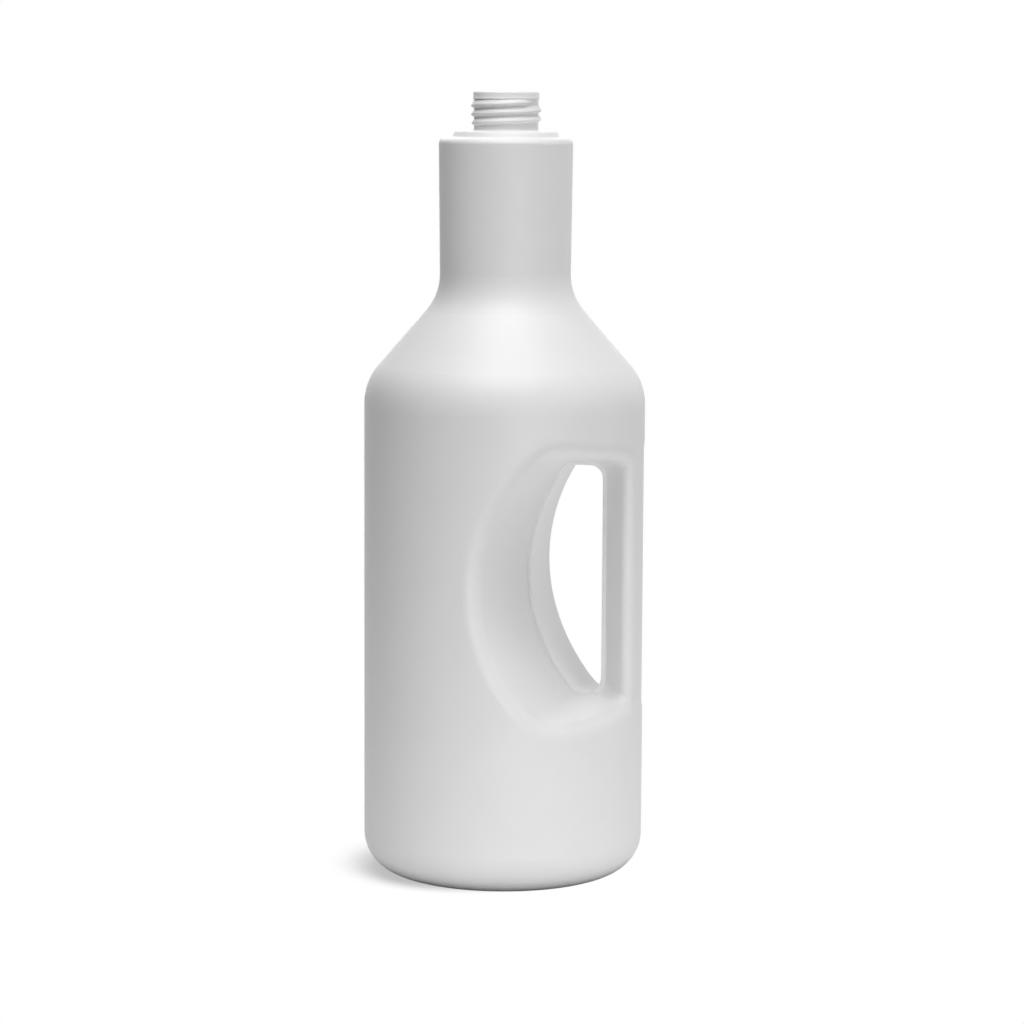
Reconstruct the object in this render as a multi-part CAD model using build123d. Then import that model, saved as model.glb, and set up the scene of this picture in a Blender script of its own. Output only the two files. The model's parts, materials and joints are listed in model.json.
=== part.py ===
from build123d import *
import os
from math import cos, radians, sin, tan

# A blown handle bottle, open at its screw neck. +Z is up the bottle's axis from the plane it
# stands on, the handle is towards +X, and the mould parts on the XZ plane. The front half, on the
# -Y side of that plane, is modelled and then mirrored.
# Driving dimensions, in millimetres and degrees.

# The turned outside, stacked from the ground up by where its straight runs would meet
body_diameter = 111.0
body_height = 195.6
shoulder_rise = 34.5
neck_foot_diameter = 51.4
neck_rise = 61.3
neck_top_diameter = 52.7
base_corner_radius = 15.5
shoulder_radius = 23.0
neck_foot_radius = 21.8
neck_edge_radius = 2.4

# The hollow pushed up into the base, inside the ring that the bottle stands on
push_up_height = 4.0
push_up_slope_width = 6.0
push_up_radius = 6.0
standing_ring_width = 4.0
standing_ring_radius = 3.0

# The seat and the screw finish of a 28 mm neck, bare of its thread
seat_diameter = 38.8
seat_rise = 2.8
seat_edge_radius = 1.0
seat_foot_radius = 0.5
finish_diameter = 25.2
finish_rise = 15.2
lip_radius = 0.6
mouth_diameter = 21.5

# The blown wall
wall = 1.0

# The handle's eye on the parting plane, a D with its straight front along the grip.
# Pairs of corner radii give the top corner first.
grip_thickness = 14.1
eye_width = 31.3
eye_height = 92.3
eye_below_shoulder = 30.8
eye_arc_bow = 19.92
eye_arc_lift = 2.35
eye_back_radii = (8.0, 7.0)
eye_front_radii = (6.2, 7.0)

# The bead that the pinched mould leaves round the eye
bead_height = 1.1
bead_thickness = 1.4
bead_edge_radius = 0.5
bead_root = 1.2

# The two pockets that widen from the eye to the body's front and back
back_draft = 5.6
top_draft = 10.5
bottom_draft = 8.5
pocket_arc_growth = 3.5
pocket_arc_drop = 1.5
pocket_back_radii = (10.0, 22.0)
pocket_front_radii = (4.0, 20.0)
pocket_overrun = 5.0
pocket_edge_radius = 6.0

# The grip, a wedge with its round side out, and the webs that round the eye's corners beside it
grip_draft = 46.0
grip_edge_radius = 3.0
grip_root = 12.0
web_depth = 8.0
web_end_radius = 1.5

body_radius = body_diameter / 2
standing_ring_inner_radius = body_radius - base_corner_radius - standing_ring_width
neck_foot_height = body_height + shoulder_rise
neck_top_height = neck_foot_height + neck_rise
seat_top_height = neck_top_height + seat_rise
bottle_height = seat_top_height + finish_rise
grip_inner_face = body_radius - grip_thickness
eye_back = grip_inner_face - eye_width
eye_top = body_height - eye_below_shoulder
eye_bottom = eye_top - eye_height
eye_arc_rise = eye_height / 2 + eye_arc_lift
eye_arc_radius = (eye_arc_rise**2 + eye_arc_bow**2) / (2 * eye_arc_bow)

# The outside's half section from the middle of the base to the foot of the finish
side_corners = [
    (0, push_up_height),
    (standing_ring_inner_radius - push_up_slope_width, push_up_height),
    (standing_ring_inner_radius, 0),
    (body_radius, 0),
    (body_radius, body_height),
    (neck_foot_diameter / 2, neck_foot_height),
    (neck_top_diameter / 2, neck_top_height),
    (seat_diameter / 2, neck_top_height),
    (seat_diameter / 2, seat_top_height),
    (finish_diameter / 2, seat_top_height),
]


def inset(corners, distance):
    """Moves every straight run of an open outline to its left by a distance."""
    points = [Vector(*corner) for corner in corners]
    normals = []
    for start, end in zip(points, points[1:]):
        along = (end - start).normalized()
        normals.append(Vector(-along.Y, along.X))
    moved = [points[0] + normals[0] * distance]
    for point, before, after in zip(points[1:-1], normals, normals[1:]):
        moved.append(point + (before + after) * (distance / (1 + before.dot(after))))
    moved.append(points[-1] + normals[-1] * distance)
    return moved


def turned(corners, radii):
    """Rounds the corners of a half section and turns it to the front half of a round body."""
    outline = FilletPolyline(*corners, radius=radii)
    on_axis = Line(outline @ 1, outline @ 0)
    section = make_face([*outline.edges(), on_axis])
    return split(revolve(Plane.XZ * section, axis=Axis.Z), bisect_by=Plane.XZ)


def outside_blank():
    """The outside of the front half before the handle is let in."""
    corners = side_corners + [(finish_diameter / 2, bottle_height), (0, bottle_height)]
    radii = [
        push_up_radius,
        standing_ring_radius,
        base_corner_radius,
        shoulder_radius,
        neck_foot_radius,
        neck_edge_radius,
        seat_foot_radius,
        seat_edge_radius,
        seat_foot_radius,
        lip_radius,
    ]
    return turned(corners, radii)


def inside_blank():
    """The front half's hollow before the handle is let in, with the bore of the mouth."""
    corners = inset(side_corners, wall)[:-1] + [
        (mouth_diameter / 2, seat_top_height - wall),
        (mouth_diameter / 2, bottle_height + wall),
        (0, bottle_height + wall),
    ]
    radii = [
        push_up_radius + wall,
        standing_ring_radius - wall,
        base_corner_radius - wall,
        shoulder_radius - wall,
        neck_foot_radius + wall,
        0,
        0,
        0,
        0,
        0,
    ]
    return turned(corners, radii)


def d_outline(back, front, bottom, top, arc_radius, arc_height, corner_radii):
    """A D with a straight front, level ends and one arc behind, its four corners rounded."""

    def on_arc(height):
        rise = height - arc_height
        return Vector(back + arc_radius - (arc_radius**2 - rise**2) ** 0.5, height)

    straights = Polyline(on_arc(bottom), (front, bottom), (front, top), on_arc(top))
    arc = ThreePointArc(on_arc(top), (back, arc_height), on_arc(bottom))
    outline = make_face([*straights.edges(), arc])
    places = [Vector(front, top), on_arc(top), on_arc(bottom), Vector(front, bottom)]
    for place, radius in zip(places, corner_radii):
        corner = outline.vertices().sort_by_distance(place)[0]
        outline = fillet(corner, radius)
    return outline


def eye_outline(growth):
    """The eye on the parting plane, a growth larger all round."""
    top_front, bottom_front = eye_front_radii
    return d_outline(
        eye_back - growth,
        grip_inner_face + growth,
        eye_bottom - growth,
        eye_top + growth,
        eye_arc_radius + growth,
        eye_bottom + eye_arc_rise,
        [radius + growth for radius in (top_front, *eye_back_radii, bottom_front)],
    )


def pocket_outline(depth, growth, front, front_radii):
    """A pocket's outline at a depth from the parting plane, its walls moved out by a growth."""

    def drafted(draft):
        return depth * tan(radians(draft)) + growth / cos(radians(draft))

    opened = depth / body_radius
    back_radii = [
        at_eye + (at_rim - at_eye) * opened + growth
        for at_eye, at_rim in zip(eye_back_radii, pocket_back_radii)
    ]
    top_front, bottom_front = front_radii
    outline = d_outline(
        eye_back - drafted(back_draft),
        front,
        eye_bottom - drafted(bottom_draft),
        eye_top + drafted(top_draft),
        eye_arc_radius + opened * pocket_arc_growth + growth,
        eye_bottom + eye_arc_rise - opened * pocket_arc_drop,
        (top_front, *back_radii, bottom_front),
    )
    return Plane.XZ.offset(depth) * outline


def with_pocket(blank, growth, edge_radius):
    """Lets the front pocket into a blank, open towards the grip, and rounds its rim."""
    front = body_radius + pocket_overrun + growth
    front_radii = [radius + growth for radius in pocket_front_radii]
    outlines = [
        pocket_outline(depth, growth, front, front_radii)
        for depth in (-pocket_overrun, body_radius + pocket_overrun)
    ]
    pocket = loft(outlines, ruled=True)
    opened = blank - pocket
    edges = new_edges(blank, pocket, combined=opened)
    rim = edges.filter_by_position(Axis.Y, -body_radius, 0, inclusive=(True, False))
    return fillet(rim, edge_radius)


def grip_bar(depth):
    """Half the grip at a depth under its skin, run into the body above and below the eye."""
    flank = radians(grip_draft)
    tip = grip_inner_face + depth / sin(flank)
    behind = tip + body_radius
    wedge = Polygon((tip, 0), (behind, -body_radius / tan(flank)), (behind, 0), align=None)
    section = Circle(body_radius - depth) & wedge
    crease = section.vertices().sort_by(Axis.Y)[0]
    section = fillet(crease, grip_edge_radius - depth)
    return extrude(Plane.XY.offset(eye_bottom - grip_root) * section, eye_height + 2 * grip_root)


def eye_web():
    """Rounds the eye's corners at the grip, more and more sharply towards the pocket's rim."""
    flank_end = grip_inner_face + web_depth * tan(radians(grip_draft))
    outlines = [
        pocket_outline(0, 0, grip_inner_face, eye_front_radii),
        pocket_outline(web_depth, 0, flank_end, (web_end_radius, web_end_radius)),
    ]
    web_back = grip_inner_face - max(eye_front_radii)
    block = Box(
        flank_end - web_back,
        web_depth,
        eye_height + 2 * grip_root,
        align=(Align.MIN, Align.MAX, Align.MIN),
    )
    return Pos(web_back, 0, eye_bottom - grip_root) * block - loft(outlines, ruled=True)


def eye_bead():
    """Half the pinched ring round the eye, rooted in its walls."""
    ring = eye_outline(bead_root) - eye_outline(-bead_height)
    bead = extrude(Plane.XZ * ring, bead_thickness / 2)
    face = bead.faces().sort_by(Axis.Y)[0]
    return fillet(face.inner_wires()[0].edges(), bead_edge_radius)


outside = with_pocket(outside_blank(), 0, pocket_edge_radius) + grip_bar(0) + eye_web() + eye_bead()
hollow = with_pocket(inside_blank(), wall, pocket_edge_radius - wall) + grip_bar(wall)
half = outside - hollow
bottle = half + mirror(half, about=Plane.XZ)

os.makedirs("parts", exist_ok=True)
export_step(bottle, "parts/bottle.step")
print("bottle holds", round(2 * hollow.volume / 1000), "ml to the brim")
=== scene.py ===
# %% [markdown]
# A blown plastic handle bottle
#
# The bottle comes in as one finished solid, at its true size, with its foot on the ground and its
# axis on Z. This lesson dresses it. It adds the fine shapes that a mould leaves on such a bottle, gives
# the plastic its finish, and photographs it on a white table. All lengths are in metres.

# %% Load the bottle
import json
from math import atan2, copysign, cos, radians, sin, tau

import bmesh
import bpy
from mathutils import Matrix, Vector


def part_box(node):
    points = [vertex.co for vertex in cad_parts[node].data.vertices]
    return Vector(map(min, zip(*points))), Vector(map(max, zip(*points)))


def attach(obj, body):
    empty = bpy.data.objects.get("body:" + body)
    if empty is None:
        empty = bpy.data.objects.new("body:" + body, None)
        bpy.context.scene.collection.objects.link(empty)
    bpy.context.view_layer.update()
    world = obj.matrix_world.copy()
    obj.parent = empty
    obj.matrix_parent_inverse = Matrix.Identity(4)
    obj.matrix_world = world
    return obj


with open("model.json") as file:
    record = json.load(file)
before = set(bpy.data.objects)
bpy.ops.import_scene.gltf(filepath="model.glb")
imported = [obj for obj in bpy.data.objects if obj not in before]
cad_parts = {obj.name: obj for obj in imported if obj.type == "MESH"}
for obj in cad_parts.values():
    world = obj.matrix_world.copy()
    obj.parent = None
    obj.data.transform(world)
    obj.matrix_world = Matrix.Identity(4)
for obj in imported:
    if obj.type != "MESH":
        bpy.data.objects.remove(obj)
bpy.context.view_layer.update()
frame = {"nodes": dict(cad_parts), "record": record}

MM = 0.001
bottle = frame["nodes"]["bottle"]
bottle_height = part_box("bottle")[1].z
print("bottle stands", round(bottle_height / MM, 1), "mm high")

# %% [markdown]
# The added shapes have to fit the solid, so they start from the record that came with it. Its mounts
# say where other things fasten to the bottle. One of them is the screw finish, the plain round stub at
# the top of the neck, and its radius is where a thread begins. The radius could be measured on the mesh
# as well, but the record has it exactly.

# %% Read the screw finish
mounts = {mount["name"]: mount for mount in frame["record"]["mounts"]}
finish_radius = mounts["neck_finish"]["dims"]["r_mm"] * MM
print("finish is", round(2 * finish_radius / MM, 1), "mm across")

# %% [markdown]
# The camera stands a little to the handle's side and a little above the bottle's middle. A long lens
# from over a metre away keeps the sides nearly parallel, as in a product photograph. A camera looks
# along its own -Z axis, and so does a lamp, so one helper with a tracking rotation can point both. A
# small turn of the camera about its own axis gives the slight lean that the picture has.


# %% Place the camera
def looking_at(target, turn, lift, distance):
    """The place and turn of a thing that looks at a target, from round to the right and up."""
    way = Vector((sin(turn) * cos(lift), -cos(turn) * cos(lift), sin(lift)))
    pointed = (-way).to_track_quat("-Z", "Y").to_matrix().to_4x4()
    return Matrix.Translation(target + way * distance) @ pointed


camera_turn = radians(15.6)
camera_lift = radians(7.2)
camera_roll = radians(0.3)
camera_distance = 1.3095
camera_lens_mm = 116.1
camera_sensor_mm = 36.0
aim_point = Vector((0.0032, 0.0, 0.1439))

camera = bpy.data.objects.new("camera", bpy.data.cameras.new("camera"))
camera.data.sensor_width = camera_sensor_mm
camera.data.lens = camera_lens_mm
camera_lean = Matrix.Rotation(camera_roll, 4, "Z")
camera.matrix_world = looking_at(aim_point, camera_turn, camera_lift, camera_distance) @ camera_lean
bpy.context.scene.collection.objects.link(camera)
bpy.context.scene.camera = camera
bpy.context.scene.view_settings.view_transform = "Standard"
print("camera stands at", [round(value, 3) for value in camera.matrix_world.translation])

# %% [markdown]
# Shader nodes can be wired by hand, one by one, but sums are easier to read as sums. This small class
# wraps the output of a node. Adding or multiplying two of them, or one of them and a number, adds the
# Math node that does it. Any other node comes from its node method, which sets the node's own options
# first and then fills its inputs with numbers or with links. A Mix node has sockets for every kind of
# value, and the three numbers below are the places of its colour sockets.

# %% A class for shader sums
MIX_COLOUR_A = 6
MIX_COLOUR_B = 7
MIX_COLOUR_RESULT = 2


class Shade:
    """The output of a shader node, to be used in sums."""

    def __init__(self, tree, socket=None):
        self.tree = tree
        self.socket = socket

    def node(self, kind, settings=None, inputs=None, output=0):
        """Adds a node, sets its options, then fills its inputs, and wraps one of its outputs."""
        made = self.tree.nodes.new(kind)
        for name, value in (settings or {}).items():
            setattr(made, name, value)
        for name, value in (inputs or {}).items():
            if isinstance(value, Shade):
                self.tree.links.new(value.socket, made.inputs[name])
            else:
                made.inputs[name].default_value = value
        outputs = made.outputs
        return Shade(self.tree, outputs[output] if len(outputs) else None)

    def maths(self, operation, *values):
        """Adds a Math node that works on some values, in their order."""
        return self.node("ShaderNodeMath", {"operation": operation}, dict(enumerate(values)))

    def __add__(self, other):
        return self.maths("ADD", self, other)

    def __sub__(self, other):
        return self.maths("SUBTRACT", self, other)

    def __rsub__(self, other):
        return self.maths("SUBTRACT", other, self)

    def __mul__(self, other):
        return self.maths("MULTIPLY", self, other)

    __radd__ = __add__
    __rmul__ = __mul__

    def between(self, low, high):
        """Rises smoothly from 0 at the low value to 1 at the high one."""
        inputs = {"Value": self, "From Min": low, "From Max": high}
        return self.node("ShaderNodeMapRange", {"interpolation_type": "SMOOTHSTEP"}, inputs)

    def mixed(self, start, end):
        """The colour that lies this share of the way from one colour to another."""
        inputs = {"Factor": self, MIX_COLOUR_A: start, MIX_COLOUR_B: end}
        return self.node("ShaderNodeMix", {"data_type": "RGBA"}, inputs, MIX_COLOUR_RESULT)


def emptied(owner):
    """Clears the nodes of a material or a world, and wraps the tree that new ones go into."""
    owner.use_nodes = True
    owner.node_tree.nodes.clear()
    return Shade(owner.node_tree)


print("shader sums are ready")

# %% [markdown]
# The bottle stands on a lit white table, as small goods do in a studio. A sweep of paper would do as
# well, but nothing of it shows beyond the foot's shadow, so a flat disc is enough.

# %% Lay the table
table_radius = 0.38
steps_in_turn = 96
table_mesh = bmesh.new()
bmesh.ops.create_circle(table_mesh, cap_ends=True, segments=steps_in_turn, radius=table_radius)
table = bpy.data.objects.new("table", bpy.data.meshes.new("table"))
table_mesh.to_mesh(table.data)
table_mesh.free()
bpy.context.scene.collection.objects.link(table)
print("table is", 2 * table_radius, "m across")

# %% [markdown]
# The table glows a little, so it throws light up at the bottle. Close to the foot its paint is a painted
# shade, darker and glowing less, which stands for the thin gap that little light gets into, and the shadow
# seen beside the foot is partly this painted shade. The picture is pure white all round, with one soft
# shadow on the left of the foot, away from most of the lamps. Paint under soft light is hardly ever pure
# white. So where the camera looks at it, the table is mixed with a plain white glow: half of it where that
# shadow lies, and all of it further out.

# %% Paint the table
pure_white = (1.0, 1.0, 1.0, 1.0)
paint_white = (0.92, 0.92, 0.92, 1.0)
# Painted shade: the table's paint turns this grey close to the foot, where shade falls in the thin gap.
painted_gap_shade = (0.2, 0.2, 0.2, 1.0)
painted_shade_inner_radius = 0.045
painted_shade_outer_radius = 0.070
shadow_middle = (-0.018, 0.005, 0.0)
shadow_dark_radius = 0.040
shadow_edge_radius = 0.058
shadow_strength = 0.5
glow_strength = 4.4
glow_share = 0.058

table_white = bpy.data.materials.new("table_white")
table_nodes = emptied(table_white)
table_point = table_nodes.node("ShaderNodeTexCoord", output="Object")


def distance_from(middle):
    """How far each point of the table lies from a middle."""
    inputs = {0: table_point, 1: middle}
    return table_nodes.node("ShaderNodeVectorMath", {"operation": "DISTANCE"}, inputs, "Value")


# Mask of the painted shade round the foot: 0 near the axis, 1 further out. It also weakens the glow there.
clear_of_painted_shade = distance_from((0.0, 0.0, 0.0)).between(painted_shade_inner_radius, painted_shade_outer_radius)
clear_of_shadow = distance_from(shadow_middle).between(shadow_dark_radius, shadow_edge_radius)
seen = table_nodes.node("ShaderNodeLightPath", output="Is Camera Ray")
white_share = seen * (1 - shadow_strength * (1 - clear_of_shadow))

# The paint's colour carries the painted shade near the foot.
paint = table_nodes.node("ShaderNodeBsdfDiffuse", inputs={"Color": clear_of_painted_shade.mixed(painted_gap_shade, paint_white)})
glow = table_nodes.node("ShaderNodeEmission", inputs={"Strength": glow_strength})
lit_paint = table_nodes.node("ShaderNodeMixShader", inputs={0: clear_of_painted_shade * glow_share, 1: paint, 2: glow})
plain_white = table_nodes.node("ShaderNodeEmission", inputs={"Color": pure_white, "Strength": 1.0})
surface = table_nodes.node("ShaderNodeMixShader", inputs={0: white_share, 1: lit_paint, 2: plain_white})
table_nodes.node("ShaderNodeOutputMaterial", inputs={"Surface": surface})
table.data.materials.append(table_white)
print("table paint has", len(table_white.node_tree.nodes), "nodes")

# %% [markdown]
# Behind the bottle the picture is plain white. A white wall would need its own light, and that would
# spill onto the bottle. So the room itself casts no light, and only the camera and the plastic's gloss
# see it as pure white.

# %% Whiten the room
room = bpy.data.worlds.new("white_room")
room_nodes = emptied(room)
bpy.context.scene.world = room
looked_at = room_nodes.node("ShaderNodeLightPath", output="Is Camera Ray")
mirrored = room_nodes.node("ShaderNodeLightPath", output="Is Glossy Ray")
brightness = looked_at.maths("MAXIMUM", looked_at, mirrored)
backdrop = room_nodes.node("ShaderNodeBackground", inputs={"Color": pure_white, "Strength": brightness})
room_nodes.node("ShaderNodeOutputWorld", inputs={"Surface": backdrop})
print("room has", len(room.node_tree.nodes), "nodes")

# %% [markdown]
# A product photographer lights such a bottle with large soft boxes. The main one hangs overhead, a little
# in front, and makes the shoulder the brightest place. It alone would leave the handle's pockets dark, so
# weaker ones stand to the right and behind. They reach into the pockets and give the edges their thin
# pale rims. A small card close to the table fills the front. The left front has no lamp, so that side
# falls away into grey.

# %% Hang the lamps
bottle_middle = Vector((0.0, 0.0, bottle_height / 2))


def soft_box(name, degrees_round, degrees_up, distance, side, power):
    """A square lamp that faces the bottle's middle, placed round it from the front and up from level."""
    lamp = bpy.data.objects.new(name, bpy.data.lights.new(name, "AREA"))
    lamp.data.size = side
    lamp.data.energy = power
    lamp.visible_camera = False
    lamp.matrix_world = looking_at(bottle_middle, radians(degrees_round), radians(degrees_up), distance)
    bpy.context.scene.collection.objects.link(lamp)


soft_box("main_box", degrees_round=14, degrees_up=70, distance=0.9, side=0.7, power=7.5)
soft_box("left_box", degrees_round=-135, degrees_up=50, distance=1.0, side=0.8, power=1.4)
soft_box("right_box", degrees_round=110, degrees_up=12, distance=1.1, side=0.8, power=1.6)
soft_box("front_box", degrees_round=45, degrees_up=3, distance=1.1, side=0.4, power=0.5)
soft_box("right_back_box", degrees_round=150, degrees_up=12, distance=1.1, side=0.5, power=1.0)
soft_box("left_back_box", degrees_round=-165, degrees_up=12, distance=1.1, side=0.8, power=1.8)
soft_box("front_card", degrees_round=30, degrees_up=-6, distance=0.6, side=0.15, power=0.72)
print("lamps:", [light.name for light in bpy.data.lights])

# %% [markdown]
# Blown polyethylene is a waxy white. It is a little cloudy, and its skin copies the mould: a fine blasted
# grain, and long faint streaks where the hot tube was drawn down before it was blown. A painted picture
# could hold such marks, but it would have to be wrapped round the bottle and would show seams. Noise needs
# no wrapping and has no seams. Object coordinates are metres from the bottle's foot, so each noise is set
# by its number of grains in a metre.

# %% Draw the polyethylene's noises
polyethylene = bpy.data.materials.new("white_polyethylene")
skin_nodes = emptied(polyethylene)
skin_point = skin_nodes.node("ShaderNodeTexCoord", output="Object")


def noise(grains, detail, axis_factors=(1.0, 1.0, 1.0)):
    """Noise from 0 to 1. A small factor for an axis draws the grains out along it."""
    factored = {0: skin_point, 1: axis_factors}
    spread = skin_nodes.node("ShaderNodeVectorMath", {"operation": "MULTIPLY"}, factored)
    inputs = {"Vector": spread, "Scale": grains, "Detail": detail}
    return skin_nodes.node("ShaderNodeTexNoise", inputs=inputs)


blasted_grain = noise(grains=2200.0, detail=2.0)
drawn_streaks = noise(grains=220.0, detail=3.0, axis_factors=(1.0, 1.0, 0.04))
wall_waves = noise(grains=26.0, detail=1.0)
cloud = noise(grains=60.0, detail=3.0)
print("polyethylene has", len(polyethylene.node_tree.nodes), "nodes for its noises")

# %% [markdown]
# The grain, the streaks and the slow waves of the wall are about a tenth of a millimetre deep at most. As
# geometry they would take millions of faces, so a Bump node tilts the shading instead. The gloss is broad
# and soft, and it changes as little from place to place as the colour does, so each share here is small.

# %% Finish the polyethylene
grain_relief = 0.012 * MM
streak_relief = 0.02 * MM
wave_relief = 0.12 * MM
thin_milk = (0.80, 0.80, 0.805, 1.0)
full_milk = (0.84, 0.84, 0.842, 1.0)
least_roughness = 0.40
cloud_roughness = 0.08
grain_roughness = 0.06
polyethylene_ior = 1.51

relief = blasted_grain * grain_relief + drawn_streaks * streak_relief + wall_waves * wave_relief
skin = skin_nodes.node("ShaderNodeBump", inputs={"Height": relief, "Distance": 1.0, "Strength": 1.0})
plastic = skin_nodes.node(
    "ShaderNodeBsdfPrincipled",
    inputs={
        "Base Color": cloud.mixed(thin_milk, full_milk),
        "Roughness": least_roughness + cloud * cloud_roughness + blasted_grain * grain_roughness,
        "IOR": polyethylene_ior,
        "Normal": skin,
    },
)
skin_nodes.node("ShaderNodeOutputMaterial", inputs={"Surface": plastic})
bottle.material_slots[0].material = polyethylene
print("polyethylene has", len(polyethylene.node_tree.nodes), "nodes")

# %% [markdown]
# The fine shapes that follow are all the bottle's own plastic, standing on its skin. They could be joined
# to the solid with booleans, but the solid stays as it is, so each is a small mesh of its own that sinks
# a little into the wall, and no gap shows. These helpers draw a section, round its corners, and turn a
# finished mesh into an object that rides with the bottle.

# %% Helpers for the added pieces
merge_distance = 0.001 * MM
sharp_angle = radians(35)
wall_sink = 0.3 * MM


def section(mesh, corners):
    """A flat face in the XZ plane from pairs of radius and height."""
    return mesh.faces.new([mesh.verts.new((radius, 0.0, height)) for radius, height in corners])


def everything(mesh):
    """All corners, edges and faces of a mesh."""
    return list(mesh.verts) + list(mesh.edges) + list(mesh.faces)


def round_off(mesh, geom, radius, segments, affect):
    """Rounds some corners or edges of a mesh with a bevel."""
    bmesh.ops.bevel(
        mesh,
        geom=geom,
        offset=radius,
        offset_type="OFFSET",
        segments=segments,
        profile=0.5,
        affect=affect,
        material=-1,
    )


def new_piece(name, mesh):
    """Makes a bmesh into an object that rides with the bottle and takes its plastic."""
    bmesh.ops.remove_doubles(mesh, verts=mesh.verts, dist=merge_distance)
    bmesh.ops.recalc_face_normals(mesh, faces=mesh.faces)
    for face in mesh.faces:
        face.smooth = True
    for edge in mesh.edges:
        edge.smooth = edge.calc_face_angle(0.0) < sharp_angle
    piece = bpy.data.objects.new(name, bpy.data.meshes.new(name))
    mesh.to_mesh(piece.data)
    mesh.free()
    piece.data.materials.append(polyethylene)
    bpy.context.scene.collection.objects.link(piece)
    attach(piece, "root")
    print(name, "has", len(piece.data.polygons), "faces")


print("added pieces sink", round(wall_sink / MM, 2), "mm into the wall")

# %% [markdown]
# The cap screws onto a single right-hand thread. Cutting it from a cylinder would be possible, but on a
# blown neck the thread is a ridge that stands on a plain wall, so the ridge alone is made. It starts as
# a section, a small flat face with a long upper flank and a short lower one, and the two corners of its
# crest are rounded.

# %% Draw the thread's section
thread_diameter = 27.4 * MM
thread_pitch = 3.4 * MM
thread_upper_flank = 2.0 * MM
thread_lower_flank = 1.2 * MM
thread_crest_width = 0.7 * MM
thread_crest_rounding = 0.3 * MM
thread_turns = 2.6
thread_top = 305.2 * MM
thread_top_angle = radians(-10.4)
thread_climb = thread_turns * thread_pitch
thread_foot = thread_top - thread_climb
sunk_radius = finish_radius - wall_sink

thread_mesh = bmesh.new()
ridge = section(
    thread_mesh,
    [
        (sunk_radius, thread_foot - thread_lower_flank),
        (thread_diameter / 2, thread_foot - thread_crest_width / 2),
        (thread_diameter / 2, thread_foot + thread_crest_width / 2),
        (sunk_radius, thread_foot + thread_upper_flank),
    ],
)
crest = [vert for vert in ridge.verts if vert.co.x > finish_radius]
round_off(thread_mesh, crest, thread_crest_rounding, segments=3, affect="VERTICES")
print("thread section has", len(thread_mesh.verts), "corners")

# %% [markdown]
# A thread is that section carried round the axis and lifted at the same time. A screw modifier could do
# it, and so can spin, which also lifts the section a little with each step and leaves a plain mesh to work
# on. A thread has two ends, so the last section is not merged with the first.

# %% Spin the thread
thread_steps = round(thread_turns * steps_in_turn)
start_angle = thread_top_angle - thread_turns * tau
bmesh.ops.rotate(
    thread_mesh, verts=thread_mesh.verts, cent=(0, 0, 0), matrix=Matrix.Rotation(start_angle, 3, "Z")
)
bmesh.ops.spin(
    thread_mesh,
    geom=everything(thread_mesh),
    cent=(0, 0, 0),
    axis=(0, 0, 1),
    dvec=(0, 0, thread_climb / thread_steps),
    angle=thread_turns * tau,
    steps=thread_steps,
    use_merge=False,
)
print("thread climbs", round(thread_climb / MM, 1), "mm")

# %% [markdown]
# Spin keeps one section all the way, but a moulded thread has no blunt ends: it rises out of the wall
# and sinks back into it. Each corner's angle and height tell which part of a turn it lies on, and near
# both ends the ridge is drawn in towards the wall and made narrower.

# %% Draw in the thread's ends
run_out_below = 0.22
run_out_above = 0.10
end_width_share = 0.4
end_strength = 0.1
for vert in thread_mesh.verts:
    around = (atan2(vert.co.y, vert.co.x) - start_angle) / tau
    climbed = (vert.co.z - thread_foot) / thread_pitch
    turn = around + round(climbed - around)
    strength = min(1.0, turn / run_out_below, (thread_turns - turn) / run_out_above)
    strength = max(end_strength, strength)
    middle = thread_foot + turn * thread_pitch
    radius = vert.co.xy.length
    drawn_in = (sunk_radius + (radius - sunk_radius) * strength) / radius
    width_share = end_width_share + (1 - end_width_share) * strength
    vert.co = (vert.co.x * drawn_in, vert.co.y * drawn_in, middle + (vert.co.z - middle) * width_share)
new_piece("screw_thread", thread_mesh)

# %% [markdown]
# The neck has two more shapes that go round it evenly, at the lip and at the seat. Such a ring could start
# as a cylinder with bevelled edges, but a section says exactly how wide and how high each corner is. Only
# its outline is turned, once round, and the last step of the full spin is merged with the first, so the
# ring has no end faces.


# %% A helper for rings
def turn_ring(name, corners, rounded):
    """Turns a section of radii and heights into a ring, some corners rounded first."""
    mesh = bmesh.new()
    section(mesh, corners)
    for (radius, height), rounding in rounded:
        corner = Vector((radius, 0.0, height))
        found = [vert for vert in mesh.verts if (vert.co - corner).length < merge_distance]
        round_off(mesh, found, rounding, segments=5, affect="VERTICES")
    bmesh.ops.delete(mesh, geom=list(mesh.faces), context="FACES_ONLY")
    bmesh.ops.spin(
        mesh,
        geom=everything(mesh),
        cent=(0, 0, 0),
        axis=(0, 0, 1),
        angle=tau,
        steps=steps_in_turn,
        use_merge=True,
    )
    new_piece(name, mesh)


print("rings are turned in", steps_in_turn, "steps")

# %% [markdown]
# Above the thread the lip is a plain band, a little wider than the wall below it, with a fine bead at its
# foot where the trimming tool stopped. The wall's own edge could be pushed out, but that belongs to the
# solid, so the band is a ring round it. Its upper corner is rounded, and its inner side lies inside the
# wall.

# %% Turn the lip band
band_relief = 0.3 * MM
band_drop = 0.1 * MM
band_rounding = 0.85 * MM
bead_relief = 0.25 * MM
bead_level = 306.6 * MM
bead_width = 0.5 * MM
band_radius = finish_radius + band_relief
band_top = bottle_height - band_drop
band_corner = (band_radius, band_top)
turn_ring(
    "lip_band",
    [
        (sunk_radius, bead_level - bead_width),
        (band_radius + bead_relief, bead_level),
        (band_radius, bead_level + bead_width),
        band_corner,
        (sunk_radius, band_top),
    ],
    [(band_corner, band_rounding)],
)

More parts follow.
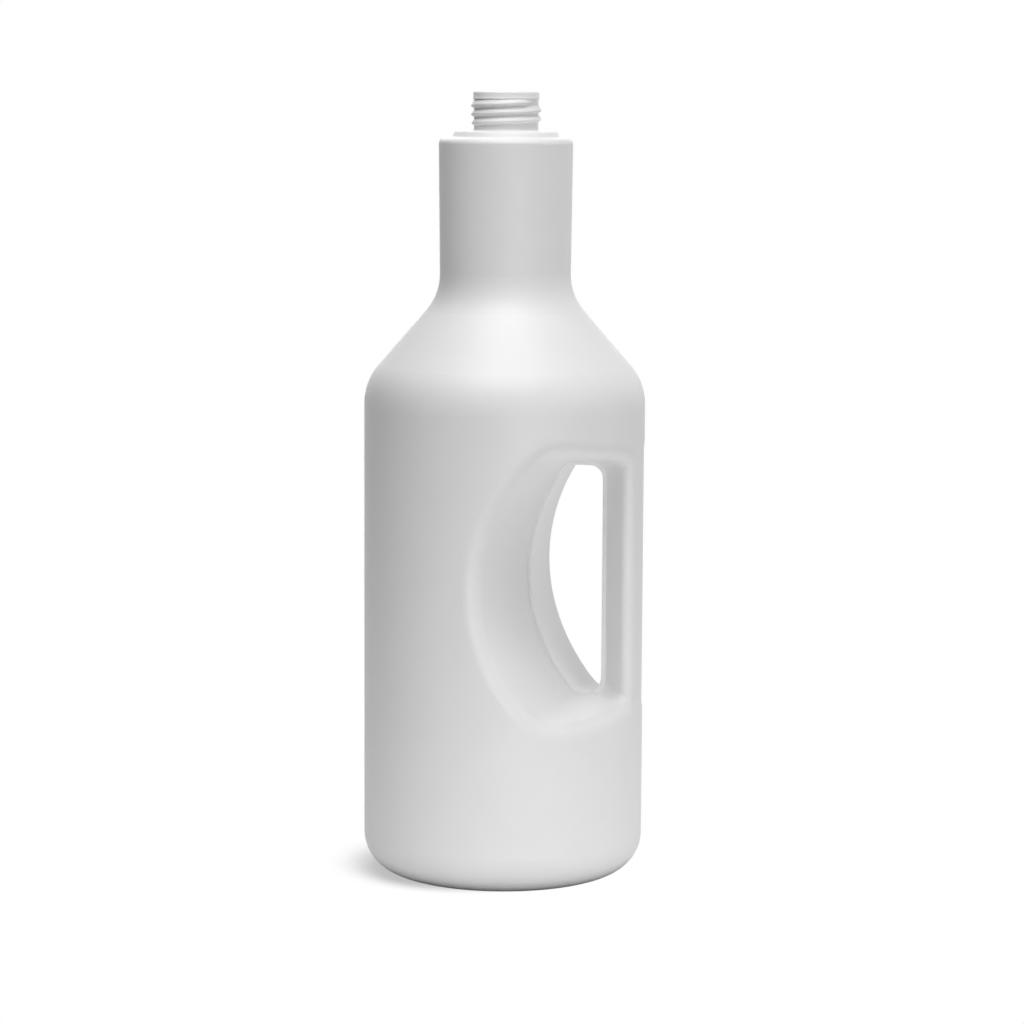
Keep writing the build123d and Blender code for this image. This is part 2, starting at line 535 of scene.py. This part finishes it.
# %% [markdown]
# The cap comes down on a seat, a low step round the foot of the finish. The second ring lies on it, so it
# needs the heights of the seat and of the neck's top. They could be typed in, but asking the solid keeps
# them right if the solid changes. A ray that falls on it from above gives the height where it lands.

# %% Find the seat
seat_probe_radius = 16.0 * MM
neck_probe_radius = 23.0 * MM
seat_drop = 0.1 * MM


def skin_height(radius):
    """How high the solid's skin lies at a distance from the axis, looked for from above."""
    return bottle.ray_cast((radius, 0.0, 2 * bottle_height), (0.0, 0.0, -1.0))[1].z


seat_top = skin_height(seat_probe_radius) - seat_drop
neck_top = skin_height(neck_probe_radius)
print("seat stands", round((seat_top - neck_top) / MM, 2), "mm above the neck")

# %% [markdown]
# The seat is not a sharp disc. Its edge falls away in a soft slope that runs out onto the top of the neck,
# because the blown wall cannot follow a sharp corner of the mould. The solid's own edge stays as it is, so
# a ring over the edge gives that slope. Its two corners are rounded, and its inner and lower sides lie
# inside the wall.

# %% Turn the seat's slope
seat_inner_radius = 18.3 * MM
seat_corner = (20.0 * MM, seat_top)
seat_rounding = 1.0 * MM
slope_foot = (21.1 * MM, neck_top)
slope_rounding = 0.7 * MM
hem_radius = 22.6 * MM
hem_sink = 0.05 * MM
turn_ring(
    "seat_rim",
    [
        (seat_inner_radius, neck_top - wall_sink),
        (seat_inner_radius, seat_top),
        seat_corner,
        slope_foot,
        (hem_radius, neck_top - hem_sink),
        (hem_radius, neck_top - wall_sink),
    ],
    [(seat_corner, seat_rounding), (slope_foot, slope_rounding)],
)

# %% [markdown]
# Where the pockets' rims run into the grip the solid has sharp inner corners. A blown wall never gets right
# into such a corner, and bridges it with a soft cove. A patch modelled by hand would have to fit many
# curved faces. But each corner can be looked into from outside, and from there it is a landscape of
# heights. So a fine grid is laid across the view and dropped onto the skin, and every grid point keeps
# the height of the skin under it. Points that find nothing, or skin that is nearly edge on, are left out.

# %% Drop a grid onto a corner
grid_step = 0.4 * MM
steepest_facing = 0.2


def dropped_grid(view, reach):
    """A grid in a view's own frame, every point lowered onto the bottle's skin."""
    mesh = bmesh.new()
    cells = round(2 * reach / grid_step)
    bmesh.ops.create_grid(mesh, x_segments=cells, y_segments=cells, size=reach)
    skin_level = mesh.verts.layers.float.new("skin_level")
    into_view = view.inverted()
    look = -view.col[2].to_3d()
    start_level = 4 * reach
    left_out = []
    for vert in mesh.verts:
        start = view @ Vector((vert.co.x, vert.co.y, start_level))
        found, landing, facing, _ = bottle.ray_cast(start, look)
        if not found or vert.co.xy.length > reach or -look.dot(facing) < steepest_facing:
            left_out.append(vert)
        vert.co.z = (into_view @ landing).z
        vert[skin_level] = vert.co.z
    bmesh.ops.delete(mesh, geom=left_out, context="VERTS")
    bmesh.ops.delete(mesh, geom=[edge for edge in mesh.edges if edge.is_wire], context="EDGES")
    return mesh, skin_level


print("corners are looked into with a grid of", round(grid_step / MM, 1), "mm")

# %% [markdown]
# Smoothing heights wears ridges down and fills hollows up. Only the filling is wanted, so after each round
# no point may lie lower than the skin. The rounds reach less and less far, so the cove fades out towards
# its edge. Where nothing was filled the grid is thrown away, and a copy of the rest, a little under the
# skin, closes it below. The front corners are mirrored to the back.

# %% Fill the corners
cove_shares = (0.9, 0.8, 0.7, 0.6)
cove_smoothing = 0.5
cove_tuck = 0.03 * MM


def second_side(mesh):
    """Gives a sheet a second side, joined at its edge, and returns that side's corners."""
    made = bmesh.ops.extrude_face_region(mesh, geom=list(mesh.faces))["geom"]
    return [item for item in made if isinstance(item, bmesh.types.BMVert)]


def cove(corner, way, reach, rounds):
    """A soft filling for a sharp inner corner that lies open to one way, in front and behind."""
    view = Matrix.Translation(corner) @ way.to_track_quat("Z", "Y").to_matrix().to_4x4()
    mesh, skin_level = dropped_grid(view, reach)
    inner = [vert for vert in mesh.verts if not vert.is_boundary]
    for share in cove_shares:
        near = [vert for vert in inner if vert.co.xy.length < share * reach]
        for _ in range(rounds):
            bmesh.ops.smooth_vert(mesh, verts=near, factor=cove_smoothing, use_axis_z=True)
            for vert in near:
                vert.co.z = max(vert.co.z, vert[skin_level])
    for vert in mesh.verts:
        vert.co.z -= cove_tuck
    unfilled = [face for face in mesh.faces if all(vert.co.z < vert[skin_level] for vert in face.verts)]
    bmesh.ops.delete(mesh, geom=unfilled, context="FACES")
    for vert in second_side(mesh):
        vert.co.z = min(vert.co.z, vert[skin_level]) - wall_sink
    bmesh.ops.transform(mesh, matrix=view, verts=mesh.verts)
    bmesh.ops.mirror(mesh, geom=everything(mesh), matrix=Matrix(), merge_dist=0.0, axis="Y")
    return mesh


upper_corner = Vector((53.5, -10.5, 169.0)) * MM
lower_corner = Vector((53.5, -10.5, 68.0)) * MM
from_below = Vector((0.35, -0.8, -0.45))
from_above = Vector((0.35, -0.8, 0.45))
new_piece("upper_coves", cove(upper_corner, from_below, reach=11.0 * MM, rounds=25))
new_piece("lower_coves", cove(lower_corner, from_above, reach=12.0 * MM, rounds=40))

# %% [markdown]
# The two halves of the mould meet on the XZ plane, and there the bottle carries a hairline of plastic up
# both sides. A thin box would not follow the curves on the way, but a strip of the bottle's own skin
# does, so a copy of the solid is cut down to a strip. Its corners are merged first, or the cuts would
# leave it in separate faces.

# %% Cut the parting line's strip
line_half_width = 0.35 * MM
line_foot = 8.0 * MM
line_end_drop = 4.0 * MM
line_top = neck_top - line_end_drop

line_mesh = bmesh.new()
line_mesh.from_mesh(bottle.data)
bmesh.ops.remove_doubles(line_mesh, verts=line_mesh.verts, dist=merge_distance)
for cut_point, cut_away in (
    ((0.0, line_half_width, 0.0), (0, 1, 0)),
    ((0.0, -line_half_width, 0.0), (0, -1, 0)),
    ((0.0, 0.0, line_top), (0, 0, 1)),
    ((0.0, 0.0, line_foot), (0, 0, -1)),
):
    bmesh.ops.bisect_plane(
        line_mesh, geom=everything(line_mesh), plane_co=cut_point, plane_no=cut_away, clear_outer=True
    )
bmesh.ops.bisect_plane(line_mesh, geom=everything(line_mesh), plane_co=(0, 0, 0), plane_no=(0, 1, 0))
print("strip has", len(line_mesh.faces), "faces, inside and outside")

# %% [markdown]
# The cuts leave the inner skin and the rim of the handle's eye as well. Only what hangs together with the
# outermost points on the left and on the right is kept. Then the strip's middle is raised by less than a
# tenth of a millimetre, its edges are sunk, and it gets a little depth.

# %% Raise the parting line
line_height = 0.06 * MM
line_edge_sink = 0.05 * MM


def joined_to(start):
    """Every corner that can be reached from one corner along the mesh's edges."""
    reached = {start}
    waiting = [start]
    while waiting:
        vert = waiting.pop()
        for edge in vert.link_edges:
            other = edge.other_vert(vert)
            if other not in reached:
                reached.add(other)
                waiting.append(other)
    return reached


rightmost = max(line_mesh.verts, key=lambda vert: vert.co.x)
leftmost = min(line_mesh.verts, key=lambda vert: vert.co.x)
outer_skin = joined_to(rightmost) | joined_to(leftmost)
left_over = [vert for vert in line_mesh.verts if vert not in outer_skin]
bmesh.ops.delete(line_mesh, geom=left_over, context="VERTS")
for vert in line_mesh.verts:
    on_edge = abs(vert.co.y) > line_half_width / 2
    vert.co.x += copysign(1.0, vert.co.x) * (-line_edge_sink if on_edge else line_height)
for vert in second_side(line_mesh):
    vert.co.x -= copysign(wall_sink, vert.co.x)
new_piece("parting_line", line_mesh)

# %% [markdown]
# Under the base the closing mould bit off the tail of the hot tube. It leaves a low rib across the hollow
# of the base, in the same plane as the parting line. The real one is a little ragged, but it is hardly
# seen, so a plain bar with rounded edges will do. Its upper side lies inside the wall.

# %% Add the pinch-off rib
rib_size = Vector((44.0, 1.3, 0.9)) * MM
rib_sink = 0.25 * MM
rib_rounding = 0.3 * MM
base_height = bottle.ray_cast((0.0, 0.0, -bottle_height), (0.0, 0.0, 1.0))[1].z
rib_middle = base_height + rib_sink - rib_size.z / 2
rib_mesh = bmesh.new()
bmesh.ops.create_cube(rib_mesh, size=1.0)
bmesh.ops.scale(rib_mesh, vec=rib_size, verts=rib_mesh.verts)
bmesh.ops.translate(rib_mesh, vec=(0.0, 0.0, rib_middle), verts=rib_mesh.verts)
round_off(rib_mesh, list(rib_mesh.edges), rib_rounding, segments=3, affect="EDGES")
new_piece("pinch_off", rib_mesh)
